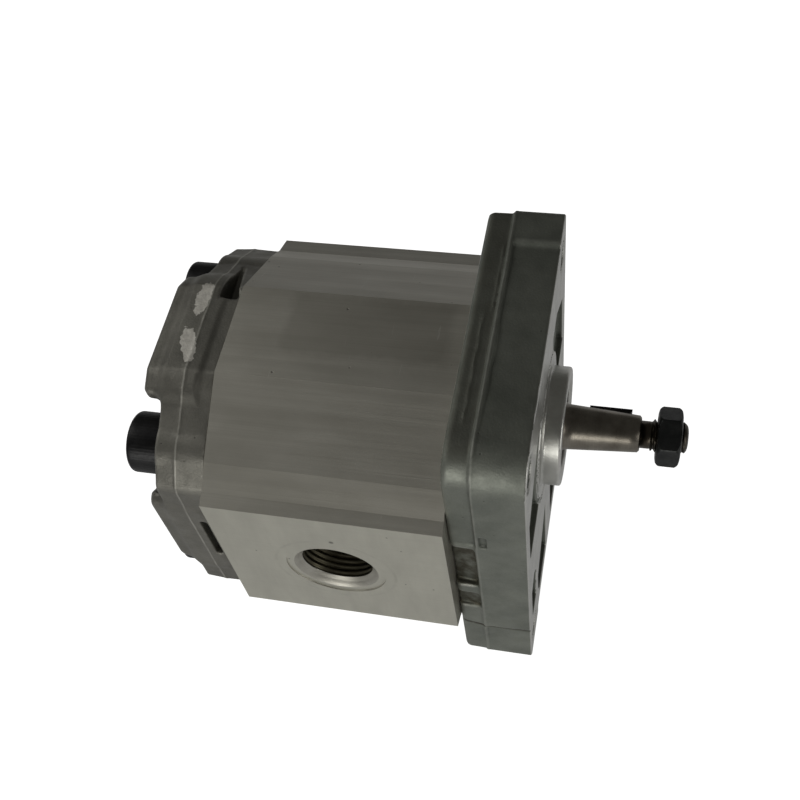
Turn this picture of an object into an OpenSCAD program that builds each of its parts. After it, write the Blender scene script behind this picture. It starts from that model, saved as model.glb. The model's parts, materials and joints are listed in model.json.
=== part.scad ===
// External gear pump, group 1 size, with a four-bolt flange and a tapered drive shaft.
// X is the drive shaft's axis, out of the drive end. X = 0 is the flange's mounting face.
// Z runs from the driven gear up to the drive gear. The ports open towards -Y and +Y.

/* [Gears] */
// Distance between the two shaft axes
gear_distance = 23; // [22.9:0.1:23.1]
// Teeth on each gear
gear_teeth = 11; // [11:1:11]
// Tip radius of both gears
gear_tip_r = 13.55; // [13.4:0.05:13.6]
// Root radius of both gears
gear_root_r = 9.2; // [9:0.05:9.3]
// Width of both gears
gear_w = 7.7; // [6:0.1:9]
// Pressure angle of the teeth
pressure_angle = 25; // [25:0.5:26]
// Gap between flanks in mesh, measured on the pitch circle
backlash = 0.14; // [0.1:0.01:0.2]

/* [Body] */
// Length of the body between flange and cover
body_l = 49.5; // [46:0.5:54]
// Distance of the milled inlet face from the middle, on the -Y side
inlet_face_y = 34.5; // [34:0.25:36]
// Distance of the outlet face from the middle, on the +Y side
outlet_face_y = 36.7; // [36:0.1:38]
// Height of the top flat above the drive axis
body_top_z = 24.75; // [24:0.25:26]
// Radius of the two gear chambers
chamber_r = 13.65; // [13.62:0.01:13.7]
// Wall radius of the ports, major radius of a G 3/8 thread
port_r = 8.33; // [8.33:0.01:8.33]
// Depth of the port thread
port_depth = 12; // [11:0.5:13]
// Radius of the passage from port to gear chamber
passage_r = 5; // [4:0.25:5.5]
// Radius of the spot face round each port
spot_face_r = 10.8; // [10:0.1:13]

/* [Flange] */
// Thickness of the flange
flange_t = 16; // [15:0.5:18]
// Half the flange's width
flange_y = 32; // [31.5:0.25:33.5]
// Top edge above the drive axis
flange_top_z = 31.5; // [31:0.25:32]
// Bottom edge below the drive axis
flange_bottom_z = -54.4; // [-55:0.1:-54]
// Radius of the two round corners, at (-Y, +Z) and (+Y, -Z)
flange_round_r = 8; // [6:0.5:9]
// Radius of the two square corners
flange_square_r = 1.5; // [1:0.25:3]
// Spacing of the mounting holes across Y
hole_spacing_y = 52.4; // [52.4:0.1:52.4]
// Spacing of the mounting holes along Z
hole_spacing_z = 71.9; // [71.9:0.1:71.9]
// Height of the upper mounting holes above the drive axis
hole_top_z = 24.5; // [24.5:0.1:24.5]
// Radius of the mounting holes
hole_r = 3.6; // [3.5:0.05:3.75]
// Radius of the pilot spigot
spigot_r = 12.7; // [12.7:0.05:12.7]
// Height of the pilot spigot
spigot_h = 4; // [3.8:0.1:4.5]

/* [Rear cover] */
// Thickness of the cover at its edge
cover_edge_t = 10.5; // [10:0.1:11]
// Thickness of the cover's raised middle
cover_mid_t = 15.5; // [14:0.5:17]
// Radius of the clearing round each screw
screw_clearing_r = 10.2; // [9:0.1:10.5]

/* [Shaft] */
// Radius of the bearing journals
journal_r = 6; // [6:0.01:6]
// Radius of the taper's large end
taper_r = 4.85; // [4.8:0.05:4.9]
// Start of the taper
taper_x = 3.9; // [3.9:0.1:4.2]
// Length of the taper, which narrows 1 in 8 on diameter
taper_l = 15.5; // [15:0.5:16]
// Radius of the neck behind the thread
neck_r = 2.9; // [2.8:0.05:3.1]
// Major radius of the M7 thread
thread_r = 3.46; // [3.4:0.01:3.47]
// Outer end of the shaft
shaft_end_x = 29.1; // [29:0.1:31]

/* [Screws] */
// Distance of the cover screws from the middle, along Y
screw_y = 20.5; // [20:0.25:21]
// Distance of the cover screws above and below the middle
screw_z = 21; // [20:0.25:21.5]
// Length of a cover screw under its head
screw_l = 70; // [68:0.5:71]
// Nominal radius of the cover screws
screw_r = 4; // [4:0.1:4]

/* [Hidden] */
$fn = 96;
eps = 0.01;

// Stations along X
body_front_x = -flange_t;
body_rear_x = body_front_x - body_l;
gear_mid_x = (body_front_x + body_rear_x) / 2;
cover_edge_x = body_rear_x - cover_edge_t;
cover_rear_x = body_rear_x - cover_mid_t;
mid_z = -gear_distance / 2;

// Bearing blocks and bushes
axial_gap = 0.05;
block_gap = 0.1;
block_r = chamber_r - 0.05;
block_inner = gear_w / 2 + axial_gap;
block_l = body_l / 2 - block_inner - block_gap;
bush_r = 7;
bush_bore_r = journal_r + 0.03;
bush_l = block_l - 2.6;

// Pressure seals, which lie in the blocks' outer faces
seal_groove = 1.6;
backup_r0 = 8.4;
backup_r1 = 9.7;
pressure_seal_r1 = 12;
seal_cut_y = 4.5;

// Body seals, which lie in the body's end faces
body_seal_r0 = 14.7;
body_seal_r1 = 16.6;
body_seal_t = 1.4;

// Dowels
dowel_r = 2;
dowel_l = 9;
dowel_at = [[27, 7.5], [-27, -7.5]];

// Cover screws and washers
screw_at = [for (sy = [-1, 1], sz = [-1, 1]) [sy * screw_y, mid_z + sz * screw_z]];
screw_hole_r = 4.25;
tapped_x = -4;
washer_t = 1.6;
washer_r = 7.5;
seat_x = cover_edge_x + 1.8;
head_x = seat_x - washer_t;
head_r = 6.5;
head_l = 8;

// Shaft seal and its ring
seal_pocket_r = 10;
seal_floor_x = -3.4;
seal_front_x = 1.8;
ring_x0 = 1.9;
ring_t = 1;
ring_groove_r = 10.5;

// Shaft ends
taper_end_x = taper_x + taper_l;
taper_end_r = taper_r - taper_l / 16;
taper_chamfer = 0.4;
neck_l = 1.9;
nut_x = 22.7;
nut_chamfer = 1.1;
nut_l = 5;
nut_af = 11;
nut_turn = 28.7;
key_w = 2.4;
key_r = 4.55;
key_x = 12.85;
key_top_y = 5.15;
key_disc_y = key_top_y + 0.9;

// A profile drawn in Y and Z, extruded from x0 to x1
module along_x(x0, x1)
    translate([min(x0, x1), 0, 0]) rotate([90, 0, 90]) linear_extrude(abs(x1 - x0)) children();

// A bar along X from x0 to x1, with radius r0 at x0 and r1 at x1
module bar(x0, x1, r0, r1, y = 0, z = 0)
    translate([x0, y, z]) rotate([0, 90, 0]) cylinder(h = x1 - x0, r1 = r0, r2 = r1);

// A ring profile (radius, X) turned about the drive axis
module turned(points)
    rotate([0, 90, 0]) rotate_extrude() polygon(points);

// Both sides of the pump, mirrored in Y
module both_sides() {
    children();
    mirror([0, 1, 0]) children();
}

// The racetrack round both gear axes
module racetrack(r) {
    circle(r);
    translate([0, -gear_distance]) circle(r);
    translate([-r, -gear_distance]) square([2 * r, gear_distance]);
}

// Two overlapping circles, one on each gear axis
module figure_eight(r) {
    circle(r);
    translate([0, -gear_distance]) circle(r);
}

// ---- body ----

// Quarter outlines from the top flat down: [distance from the middle in Y, height above it]
top_h = body_top_z - mid_z;
lip = [[11, top_h], [27, top_h - 9.1], [31.8, top_h - 12.6]];
body_inlet = concat(lip, [[inlet_face_y, top_h - 13.75]]);
body_outlet = concat(lip, [[outlet_face_y, top_h - 14.7]]);
cover_inlet = [[11, top_h - 0.6], [26.8, top_h - 9.35], [30.9, top_h - 14.15], [31.4, top_h - 15.5]];
cover_outlet = [[11, top_h - 0.6], [26.8, top_h - 9.35], [32.2, top_h - 13.3], [32.8, top_h - 14.5]];

function flip_y(points) = [for (p = points) [-p[0], p[1]]];
function flip_z(points) = [for (p = points) [p[0], -p[1]]];
function backwards(points) = [for (i = [len(points) - 1 : -1 : 0]) points[i]];
function round_trip(inlet, outlet) = concat(outlet, backwards(flip_z(outlet)), flip_z(flip_y(inlet)),
    backwards(flip_y(inlet)));

module outline(inlet, outlet)
    translate([0, mid_z]) polygon(round_trip(inlet, outlet));

// A threaded port that opens at the given distance from the middle
module port(face_y) {
    rotate([90, 0, 0]) {
        translate([0, 0, face_y - port_depth - 0.4]) cylinder(h = port_depth + 1, r = port_r);
        translate([0, 0, face_y - 0.3]) cylinder(h = 1, r = spot_face_r);
        translate([0, 0, face_y - 1.2]) cylinder(h = 0.9 + eps, r1 = port_r, r2 = port_r + 0.9);
        translate([0, 0, face_y - port_depth - 3])
            cylinder(h = 2.6 + eps, r1 = passage_r, r2 = port_r);
        cylinder(h = face_y - port_depth, r = passage_r);
    }
}

module pump_body() color("#b9b6a8") difference() {
    along_x(body_rear_x, body_front_x) outline(body_inlet, body_outlet);
    along_x(body_rear_x - 1, body_front_x + 1) figure_eight(chamber_r);
    translate([gear_mid_x, 0, mid_z]) port(inlet_face_y);
    translate([gear_mid_x, 0, mid_z]) mirror([0, 1, 0]) port(outlet_face_y);
    for (p = screw_at) bar(body_rear_x - 1, body_front_x + 1, screw_hole_r, screw_hole_r, p[0], p[1]);
    for (x = [body_front_x, body_rear_x]) {
        dowel_holes(x);
        along_x(x - body_seal_t, x + body_seal_t) difference() {
            racetrack(body_seal_r1);
            racetrack(body_seal_r0);
        }
    }
}

module dowel_holes(joint_x)
    for (p = dowel_at)
        bar(joint_x - dowel_l / 2 - 0.3, joint_x + dowel_l / 2 + 0.3, dowel_r, dowel_r,
            p[0], mid_z + p[1]);

module dowels(joint_x) color("#8d8f92")
    for (p = dowel_at) {
        y = p[0];
        z = mid_z + p[1];
        bar(joint_x - dowel_l / 2 + 0.4, joint_x + dowel_l / 2 - 0.4, dowel_r, dowel_r, y, z);
        bar(joint_x - dowel_l / 2, joint_x - dowel_l / 2 + 0.4, dowel_r - 0.4, dowel_r, y, z);
        bar(joint_x + dowel_l / 2 - 0.4, joint_x + dowel_l / 2, dowel_r, dowel_r - 0.4, y, z);
    }

module front_dowel_pins() dowels(body_front_x);
module rear_dowel_pins() dowels(body_rear_x);

module body_seal(face_x, inwards) color("#1c1c1c")
    along_x(face_x, face_x + inwards * body_seal_t) difference() {
        racetrack(body_seal_r1 - 0.05);
        racetrack(body_seal_r0 + 0.05);
    }

module front_body_seal() body_seal(body_front_x, -1);
module rear_body_seal() body_seal(body_rear_x, 1);

// ---- flange ----

flange_split_x = -10.3;
hole_at = [for (sy = [-1, 1], z = [hole_top_z, hole_top_z - hole_spacing_z])
    [sy * hole_spacing_y / 2, z]];

// A rectangle with two round and two nearly square corners, cut back by inset on every side
module flange_outline(inset) {
    y = flange_y - inset;
    z0 = flange_bottom_z + inset;
    z1 = flange_top_z - inset;
    a = flange_round_r;
    b = flange_square_r;
    polygon([[a - y, z1], [y - b, z1], [y, z1 - b], [y, z0 + a], [y - a, z0], [b - y, z0],
        [-y, z0 + b], [-y, z1 - a]]);
    for (s = [-1, 1]) {
        translate([s * (y - a), s < 0 ? z1 - a : z0 + a]) circle(a);
        translate([s * (y - b), s > 0 ? z1 - b : z0 + b]) circle(b);
    }
}

// Shallow cored pockets in the mounting face, on the +Y side
module front_pockets() {
    difference() {
        polygon([[10, -7], [28.5, -7], [28.5, 8], [16, 17.5], [10, 17.5]]);
        circle(16.6);
    }
    polygon([[4, -49.5], [16.5, -49.5], [18.5, -43], [18.5, -36], [4, -25]]);
    polygon([[22, -38], [28, -38], [28, -25], [24.5, -22.5], [21, -27]]);
}

// Cast recesses in the rim, on the +Y side
module rim_recesses() {
    translate([flange_split_x - 5.7, 28, -15]) cube([5, 5, 15.5]);
    translate([flange_split_x - 5.7, 28, -27]) cube([5.5, 5, 6.5]);
    translate([flange_split_x, flange_y - 0.4, -60]) cube([12, 2, 23]);
}

module front_flange() color("#6f716c") difference() {
    union() {
        along_x(flange_split_x, 0) flange_outline(0);
        along_x(body_front_x, flange_split_x) flange_outline(0.5);
        bar(-1, spigot_h - 0.6, spigot_r, spigot_r);
        bar(spigot_h - 0.6, spigot_h, spigot_r, spigot_r - 0.6);
    }
    for (p = hole_at) bar(-flange_t - 1, 1, hole_r, hole_r, p[0], p[1]);
    for (p = screw_at) {
        bar(-flange_t - 1, tapped_x, screw_r, screw_r, p[0], p[1]);
        bar(tapped_x, tapped_x + 1.2, screw_r, 0.5, p[0], p[1]);
    }
    dowel_holes(body_front_x);
    both_sides() {
        along_x(-2, 1) front_pockets();
        rim_recesses();
    }
    // recessed panels in the upper and lower edges
    translate([flange_split_x, -23, flange_top_z - 0.8]) cube([11, 46, 3]);
    translate([flange_split_x, -19, flange_bottom_z - 2.2]) cube([11, 38, 3]);
    // shaft bore, seal pocket and ring groove
    bar(-flange_t - 1, 1, journal_r + 0.5, journal_r + 0.5);
    bar(seal_floor_x, spigot_h - 0.5, seal_pocket_r, seal_pocket_r);
    bar(spigot_h - 0.5, spigot_h + eps, seal_pocket_r, seal_pocket_r + 0.5);
    bar(ring_x0 - 0.05, ring_x0 + ring_t + 0.05, ring_groove_r, ring_groove_r);
}

// ---- rear cover ----

// Outline of the raised middle: a cross with a round clearing at each screw
upright_w = 31;
crosspiece_w = 61.6;
crosspiece_h = 26;
module cover_middle() difference() {
    intersection() {
        outline(cover_inlet, cover_outlet);
        translate([0, mid_z]) union() {
            square([upright_w, 2 * top_h - 3], center = true);
            square([crosspiece_w, crosspiece_h], center = true);
        }
    }
    for (p = screw_at) translate(p) circle(screw_clearing_r);
}

module rear_cover() color("#6a6963") difference() {
    union() {
        along_x(cover_edge_x, body_rear_x) outline(cover_inlet, cover_outlet);
        along_x(cover_rear_x + 1.2, cover_edge_x + 1) cover_middle();
        intersection() {
            along_x(cover_rear_x, cover_rear_x + 1.3) cover_middle();
            translate([cover_rear_x, -29.6, mid_z - top_h + 3]) cube([2, 59.2, 2 * top_h - 6]);
        }
    }
    for (p = screw_at) {
        bar(cover_rear_x - 1, body_rear_x + 1, screw_hole_r, screw_hole_r, p[0], p[1]);
        bar(cover_rear_x - 1, seat_x, washer_r + 0.3, washer_r + 0.3, p[0], p[1]);
    }
    dowel_holes(body_rear_x);
    // cored pockets in the rim, half a turn apart
    for (turn = [0, 180]) translate([0, 0, mid_z]) rotate([turn, 0, 0]) {
        translate([body_rear_x, 0, top_h - 6.7]) linear_extrude(8)
            polygon([[-0.7, 8], [-4.6, 8], [-4.6, 21], [-3.2, 21]]);
        translate([body_rear_x - 4.7, -34, -6.7]) cube([1.5, 4, 15.2]);
    }
}

// ---- screws ----

module cover_screw(y, z) difference() {
    union() {
        bar(head_x - head_l, head_x - head_l + 0.8, head_r - 0.6, head_r, y, z);
        bar(head_x - head_l + 0.8, head_x, head_r, head_r, y, z);
        bar(head_x - eps, head_x + screw_l - 0.8, screw_r - 0.02, screw_r - 0.02, y, z);
        bar(head_x + screw_l - 0.8, head_x + screw_l, screw_r - 0.02, screw_r - 0.8, y, z);
    }
    translate([head_x - head_l - 1, y, z]) rotate([0, 90, 0]) cylinder(h = 5, r = 3 / cos(30), $fn = 6);
}

module cover_screws() color("#1d1d1e") for (p = screw_at) cover_screw(p[0], p[1]);

module screw_washers() color("#2b2b2c")
    for (p = screw_at) difference() {
        bar(head_x, seat_x, washer_r, washer_r, p[0], p[1]);
        bar(head_x - 1, seat_x + 1, screw_hole_r, screw_hole_r, p[0], p[1]);
    }

// ---- bearings ----

// One bearing block; side is 1 for the front block and -1 for the rear one
module bearing_block(side) color("#a9a9a4") {
    inner_x = gear_mid_x + side * block_inner;
    outer_x = inner_x + side * block_l;
    difference() {
        along_x(inner_x, outer_x) figure_eight(block_r);
        for (z = [0, -gear_distance]) {
            bar(min(inner_x, outer_x) - 1, max(inner_x, outer_x) + 1, bush_r, bush_r, 0, z);
        }
        // groove for the pressure seal and its strip
        along_x(outer_x, outer_x - side * seal_groove) seal_band(backup_r0, pressure_seal_r1);
        // relief pockets beside the mesh, on the gear side
        both_sides() translate([inner_x, 3.6, mid_z]) cube([2.4, 3.2, 5], center = true);
    }
}

module front_bearing_block() bearing_block(1);
module rear_bearing_block() bearing_block(-1);

module bush(side, z) color("#a5793f") {
    inner_x = gear_mid_x + side * (block_inner + 0.4);
    outer_x = inner_x + side * bush_l;
    difference() {
        bar(min(inner_x, outer_x), max(inner_x, outer_x), bush_r, bush_r, 0, z);
        bar(min(inner_x, outer_x) - 1, max(inner_x, outer_x) + 1, bush_bore_r, bush_bore_r, 0, z);
    }
}

module front_drive_bush() bush(1, 0);
module front_driven_bush() bush(1, -gear_distance);
module rear_drive_bush() bush(-1, 0);
module rear_driven_bush() bush(-1, -gear_distance);

// ---- seals ----

// A figure-eight band between two radii, open towards the inlet on the -Y side
module seal_band(r0, r1) difference() {
    figure_eight(r1);
    figure_eight(r0);
    translate([-20, -60]) square([20 - seal_cut_y, 100]);
}

module pressure_seal(side) color("#202020")
    along_x(gear_mid_x + side * body_l / 2,
        gear_mid_x + side * (body_l / 2 - seal_groove - block_gap + 0.05))
        seal_band(backup_r1 + 0.03, pressure_seal_r1 - 0.05);

module backup_strip(side) color("#e3dfd0")
    along_x(gear_mid_x + side * (body_l / 2 - block_gap),
        gear_mid_x + side * (body_l / 2 - seal_groove - block_gap + 0.05))
        seal_band(backup_r0 + 0.05, backup_r1);

module front_pressure_seal() pressure_seal(1);
module rear_pressure_seal() pressure_seal(-1);
module front_backup_strip() backup_strip(1);
module rear_backup_strip() backup_strip(-1);

// Rotary lip seal; its lip just clears the journal
lip_r = journal_r + 0.05;
spring_x = -1.4;
spring_r = 0.45;
spring_ring_r = lip_r + 1.95;

module shaft_seal() color("#6b2f22")
    turned([[10, seal_front_x], [6.5, seal_front_x], [lip_r, 1.4], [6.35, 0.6], [6.35, -0.5],
        [lip_r, -1.2], [6.6, -2.5], [7.4, -2.5], [7.5, -1.9], [7.5, -0.5], [7.4, 0.4], [8.6, 0.6],
        [8.6, -3.2], [10, -3.2]]);

module seal_spring() color("#9a9c9e")
    translate([spring_x, 0, 0]) rotate([0, 90, 0]) rotate_extrude()
        translate([spring_ring_r, 0]) circle(spring_r, $fn = 24);

module retaining_ring() color("#4c4c4e")
    along_x(ring_x0, ring_x0 + ring_t) difference() {
        union() {
            difference() {
                circle(ring_groove_r - 0.05);
                circle(9);
                polygon([[0, 0], [-7, 20], [7, 20]]);
            }
            for (s = [-1, 1]) translate([s * 3.9, 7.9]) circle(1.35);
        }
        for (s = [-1, 1]) translate([s * 3.9, 7.7]) circle(0.6);
    }

// ---- gears and shafts ----

pitch_r = gear_distance / 2;
base_r = pitch_r * cos(pressure_angle);
flank_steps = 7;

// Involute function of an angle, in degrees
function involute(a) = tan(a) * 180 / PI - a;
// Half the tooth's angle at radius r
function half_tooth(r) = 90 / gear_teeth - backlash / 4 / pitch_r * 180 / PI
    + involute(pressure_angle) - involute(r > base_r ? acos(base_r / r) : 0);
function polar(r, a) = [r * cos(a), r * sin(a)];
flank_r = [for (i = [0 : flank_steps]) base_r + (gear_tip_r - base_r) * i / flank_steps];
function tooth(a) = concat([polar(gear_root_r, a - half_tooth(base_r) - 1)],
    [for (r = flank_r) polar(r, a - half_tooth(r))],
    [for (i = [flank_steps : -1 : 0]) polar(flank_r[i], a + half_tooth(flank_r[i]))],
    [polar(gear_root_r, a + half_tooth(base_r) + 1)]);

// A gear whose first tooth points at angle a0 from +Y towards +Z
module gear(a0, z)
    along_x(gear_mid_x - gear_w / 2, gear_mid_x + gear_w / 2) translate([0, z])
        polygon([for (k = [0 : gear_teeth - 1]) each tooth(a0 + k * 360 / gear_teeth)]);

module drive_gear_shaft() color("#8a857b") difference() {
    union() {
        gear(-90, 0);
        bar(body_rear_x + 0.6, body_rear_x + 1.2, journal_r - 0.6, journal_r);
        bar(body_rear_x + 1.2, 2.7, journal_r, journal_r);
        bar(2.7, taper_x, journal_r, taper_r);
        bar(taper_x, taper_end_x - taper_chamfer, taper_r, taper_end_r + taper_chamfer / 16);
        bar(taper_end_x - taper_chamfer, taper_end_x, taper_end_r + taper_chamfer / 16,
            taper_end_r - taper_chamfer);
        bar(taper_end_x - eps, taper_end_x + neck_l, neck_r, neck_r);
        bar(taper_end_x + neck_l, taper_end_x + neck_l + 0.4, neck_r, thread_r);
        bar(taper_end_x + neck_l + 0.4, shaft_end_x - 1, thread_r, thread_r);
        bar(shaft_end_x - 1, shaft_end_x - 0.4, thread_r, thread_r - 0.6);
        bar(shaft_end_x - 0.4, shaft_end_x, thread_r - 0.6, thread_r - 1.5);
    }
    key_disc(key_w + 0.04, key_r + 0.02);
}

module driven_gear_shaft() color("#8a857b") {
    z = -gear_distance;
    gear(90 + 180 / gear_teeth, z);
    bar(body_rear_x + 0.6, body_rear_x + 1.2, journal_r - 0.6, journal_r, 0, z);
    bar(body_rear_x + 1.2, body_front_x - 1.2, journal_r, journal_r, 0, z);
    bar(body_front_x - 1.2, body_front_x - 0.6, journal_r, journal_r - 0.6, 0, z);
}

// The disc that a woodruff key and its seat are cut from
module key_disc(w, r)
    translate([key_x, key_disc_y, -w / 2]) cylinder(h = w, r = r);

module shaft_key() color("#2a2a2b") intersection() {
    key_disc(key_w, key_r);
    translate([key_x - 10, key_top_y - 10, -5]) cube([20, 10, 10]);
}

module shaft_nut() color("#2a2b2c") rotate([nut_turn, 0, 0]) difference() {
    intersection() {
        translate([nut_x, 0, 0]) rotate([0, 90, 0]) rotate(90)
            cylinder(h = nut_l, r = nut_af / 2 / cos(30), $fn = 6);
        union() {
            bar(nut_x, nut_x + nut_chamfer, nut_af / 2 - 0.3, nut_af / 2 + nut_chamfer);
            bar(nut_x + nut_chamfer, nut_x + nut_l - nut_chamfer, nut_af / 2 + nut_chamfer,
                nut_af / 2 + nut_chamfer);
            bar(nut_x + nut_l - nut_chamfer, nut_x + nut_l, nut_af / 2 + nut_chamfer, nut_af / 2 - 0.3);
        }
    }
    bar(nut_x - 1, nut_x + nut_l + 1, thread_r + 0.04, thread_r + 0.04);
}

front_flange();
pump_body();
rear_cover();
front_bearing_block();
rear_bearing_block();
front_drive_bush();
front_driven_bush();
rear_drive_bush();
rear_driven_bush();
front_pressure_seal();
rear_pressure_seal();
front_backup_strip();
rear_backup_strip();
front_body_seal();
rear_body_seal();
shaft_seal();
seal_spring();
retaining_ring();
front_dowel_pins();
rear_dowel_pins();
cover_screws();
screw_washers();
drive_gear_shaft();
driven_gear_shaft();
shaft_key();
shaft_nut();
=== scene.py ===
"""Looks of an external gear pump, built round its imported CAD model.

Shapes and patterns are in millimetres. The stage, the lights and the camera are in metres, as Blender has them.
"""

import json
import math

import bmesh
import bpy
import numpy as np
from mathutils import Matrix, Vector


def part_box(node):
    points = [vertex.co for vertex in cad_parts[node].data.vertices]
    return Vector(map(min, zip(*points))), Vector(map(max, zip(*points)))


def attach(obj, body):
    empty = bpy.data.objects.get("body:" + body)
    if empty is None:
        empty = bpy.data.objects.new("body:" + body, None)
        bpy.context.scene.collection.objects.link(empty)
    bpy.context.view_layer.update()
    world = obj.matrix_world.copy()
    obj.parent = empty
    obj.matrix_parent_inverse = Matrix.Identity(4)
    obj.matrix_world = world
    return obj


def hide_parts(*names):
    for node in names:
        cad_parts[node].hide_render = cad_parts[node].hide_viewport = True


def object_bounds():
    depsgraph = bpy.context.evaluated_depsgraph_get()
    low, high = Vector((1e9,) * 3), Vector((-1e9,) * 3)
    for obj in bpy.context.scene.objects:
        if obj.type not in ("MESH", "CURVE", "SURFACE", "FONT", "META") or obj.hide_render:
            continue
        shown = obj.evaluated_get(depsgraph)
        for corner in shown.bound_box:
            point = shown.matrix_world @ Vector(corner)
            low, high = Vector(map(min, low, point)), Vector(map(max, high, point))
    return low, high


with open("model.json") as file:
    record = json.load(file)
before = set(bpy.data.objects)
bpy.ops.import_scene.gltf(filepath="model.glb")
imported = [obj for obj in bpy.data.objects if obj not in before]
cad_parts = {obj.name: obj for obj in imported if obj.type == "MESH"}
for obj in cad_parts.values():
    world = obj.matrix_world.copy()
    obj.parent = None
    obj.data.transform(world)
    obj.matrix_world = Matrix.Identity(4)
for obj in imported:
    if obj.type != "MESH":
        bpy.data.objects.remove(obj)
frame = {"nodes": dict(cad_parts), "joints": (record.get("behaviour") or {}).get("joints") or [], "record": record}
cad_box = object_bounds()
MM = 0.001


def box_mm(node):
    """Lowest and highest corner of a CAD node, in millimetres."""
    lo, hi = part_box(node)
    return np.array(lo) / MM, np.array(hi) / MM


# ---------------------------------------------------------------- sizes that several parts share

FLANGE_LO, FLANGE_HI = box_mm("front_flange")
BODY_LO, BODY_HI = box_mm("pump_body")
COVER_LO, COVER_HI = box_mm("rear_cover")
SCREWS_LO, SCREWS_HI = box_mm("cover_screws")
WASHER_LO, WASHER_HI = box_mm("screw_washers")
RING_LO, RING_HI = box_mm("retaining_ring")
NUT_LO, NUT_HI = box_mm("shaft_nut")
PINS_HI = box_mm("front_dowel_pins")[1]
SHAFT_HI = box_mm("drive_gear_shaft")[1]
BODY_MID = (BODY_LO + BODY_HI) / 2

JOINTS = {j["name"]: np.array(j["pos_m"]) / MM for j in frame["joints"]}
MID_Z = JOINTS["driven_spin"][2] / 2  # halfway between the two gears

MOUNTS = {m["name"]: m for m in frame["record"]["mounts"]}
SPIGOT_R = MOUNTS["pilot_spigot"]["dims"]["r_mm"]
PORT_MAJOR = MOUNTS["inlet_port"]["dims"]["r_mm"]
BOLTS = MOUNTS["mounting_bolts"]["dims"]
BOLTS_Z = MOUNTS["mounting_bolts"]["pos_m"][2] / MM
HOLE_R = BOLTS["hole_r_mm"]
HOLES = [
    (sy * BOLTS["spacing_x_mm"] / 2, BOLTS_Z + sz * BOLTS["spacing_y_mm"] / 2)
    for sy in (-1, 1)
    for sz in (1, -1)
]

HEAD_R, SCREW_HOLE_R = 6.5, 4.25
SCREW_ROWS = (SCREWS_HI[2] - HEAD_R, SCREWS_LO[2] + HEAD_R)
SCREWS = [(sy * (SCREWS_HI[1] - HEAD_R), z) for sy in (-1, 1) for z in SCREW_ROWS]
DOWEL_R, DOWEL_H = 2.0, 7.5
DOWELS = [(s * (PINS_HI[1] - DOWEL_R), MID_Z + s * DOWEL_H) for s in (1, -1)]

SPLIT_X, RIDGE_X = -10.3, -71.8  # parting lines of the flange and of the cover
CREASE_Z, CREASE_LEAN = -38.6, 0.22  # the slanting crease low on the flange's sides


# ---------------------------------------------------------------- fields and meshes


def slab(v, a, b):
    return np.maximum(a - v, v - b)


def both(a, b, r=0.0):
    """What lies in a and b, with an outer edge of radius r between them."""
    if r == 0:
        return np.maximum(a, b)
    return np.minimum(-r, np.maximum(a, b)) + np.hypot(np.maximum(a + r, 0), np.maximum(b + r, 0))


def either(a, b, r=0.0):
    """What lies in a or b, with a fillet of radius r between them."""
    return -both(-a, -b, r)


def cut(a, b, r=0.0):
    """a without b, with an edge of radius r."""
    return both(a, -b, r)


def disc(y, z, centre, r):
    return np.hypot(y - centre[0], z - centre[1]) - r


def block(y, z, y0, y1, z0, z1, r=0.0):
    """A rectangle in Y and Z with corners of radius r."""
    dy = np.abs(y - (y0 + y1) / 2) - (y1 - y0) / 2 + r
    dz = np.abs(z - (z0 + z1) / 2) - (z1 - z0) / 2 + r
    return np.minimum(np.maximum(dy, dz), 0) + np.hypot(np.maximum(dy, 0), np.maximum(dz, 0)) - r


def polygon(y, z, points):
    """Signed distance to a polygon in Y and Z."""
    y, z = np.broadcast_arrays(y, z)
    best = np.full(y.shape, np.inf)
    inside = np.zeros(y.shape, bool)
    for (y0, z0), (y1, z1) in zip(points, points[1:] + points[:1]):
        ey, ez = y1 - y0, z1 - z0
        t = np.clip(((y - y0) * ey + (z - z0) * ez) / (ey * ey + ez * ez), 0, 1)
        best = np.minimum(best, np.hypot(y - y0 - t * ey, z - z0 - t * ez))
        if z0 != z1:
            crosses = ((z0 > z) != (z1 > z)) & (y < y0 + (z - z0) * ey / ez)
            inside ^= crosses
    return np.where(inside, -best, best)


def smooth(v, a, b):
    """0 before a and 1 after b, smoothly."""
    t = np.clip((v - a) / (b - a), 0, 1)
    return t * t * (3 - 2 * t)


def hump(v, half):
    """1 where v is 0, falling off smoothly over about half on either side."""
    return np.exp(-((v / half) ** 2))


def waves(seed, *coords):
    """A slow wandering value from -1 to 1, for irregular lines."""
    rng = np.random.default_rng(seed)
    lengths = (9.0, 4.1, 1.9)
    total = 0.0
    for length in lengths:
        phase = rng.uniform(0, 6.28)
        turn = sum(c * w for c, w in zip(coords, rng.normal(0, 1, len(coords))))
        total = total + np.sin(turn * 6.28 / length + phase) * length
    return total / sum(lengths)


def flash(seed, x, y, z, at, half):
    """Height of the uneven ridge that a die leaves round a casting where its halves meet, at x = at."""
    return hump(x - at, half) * (0.12 + 0.05 * waves(seed, y, z))


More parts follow.
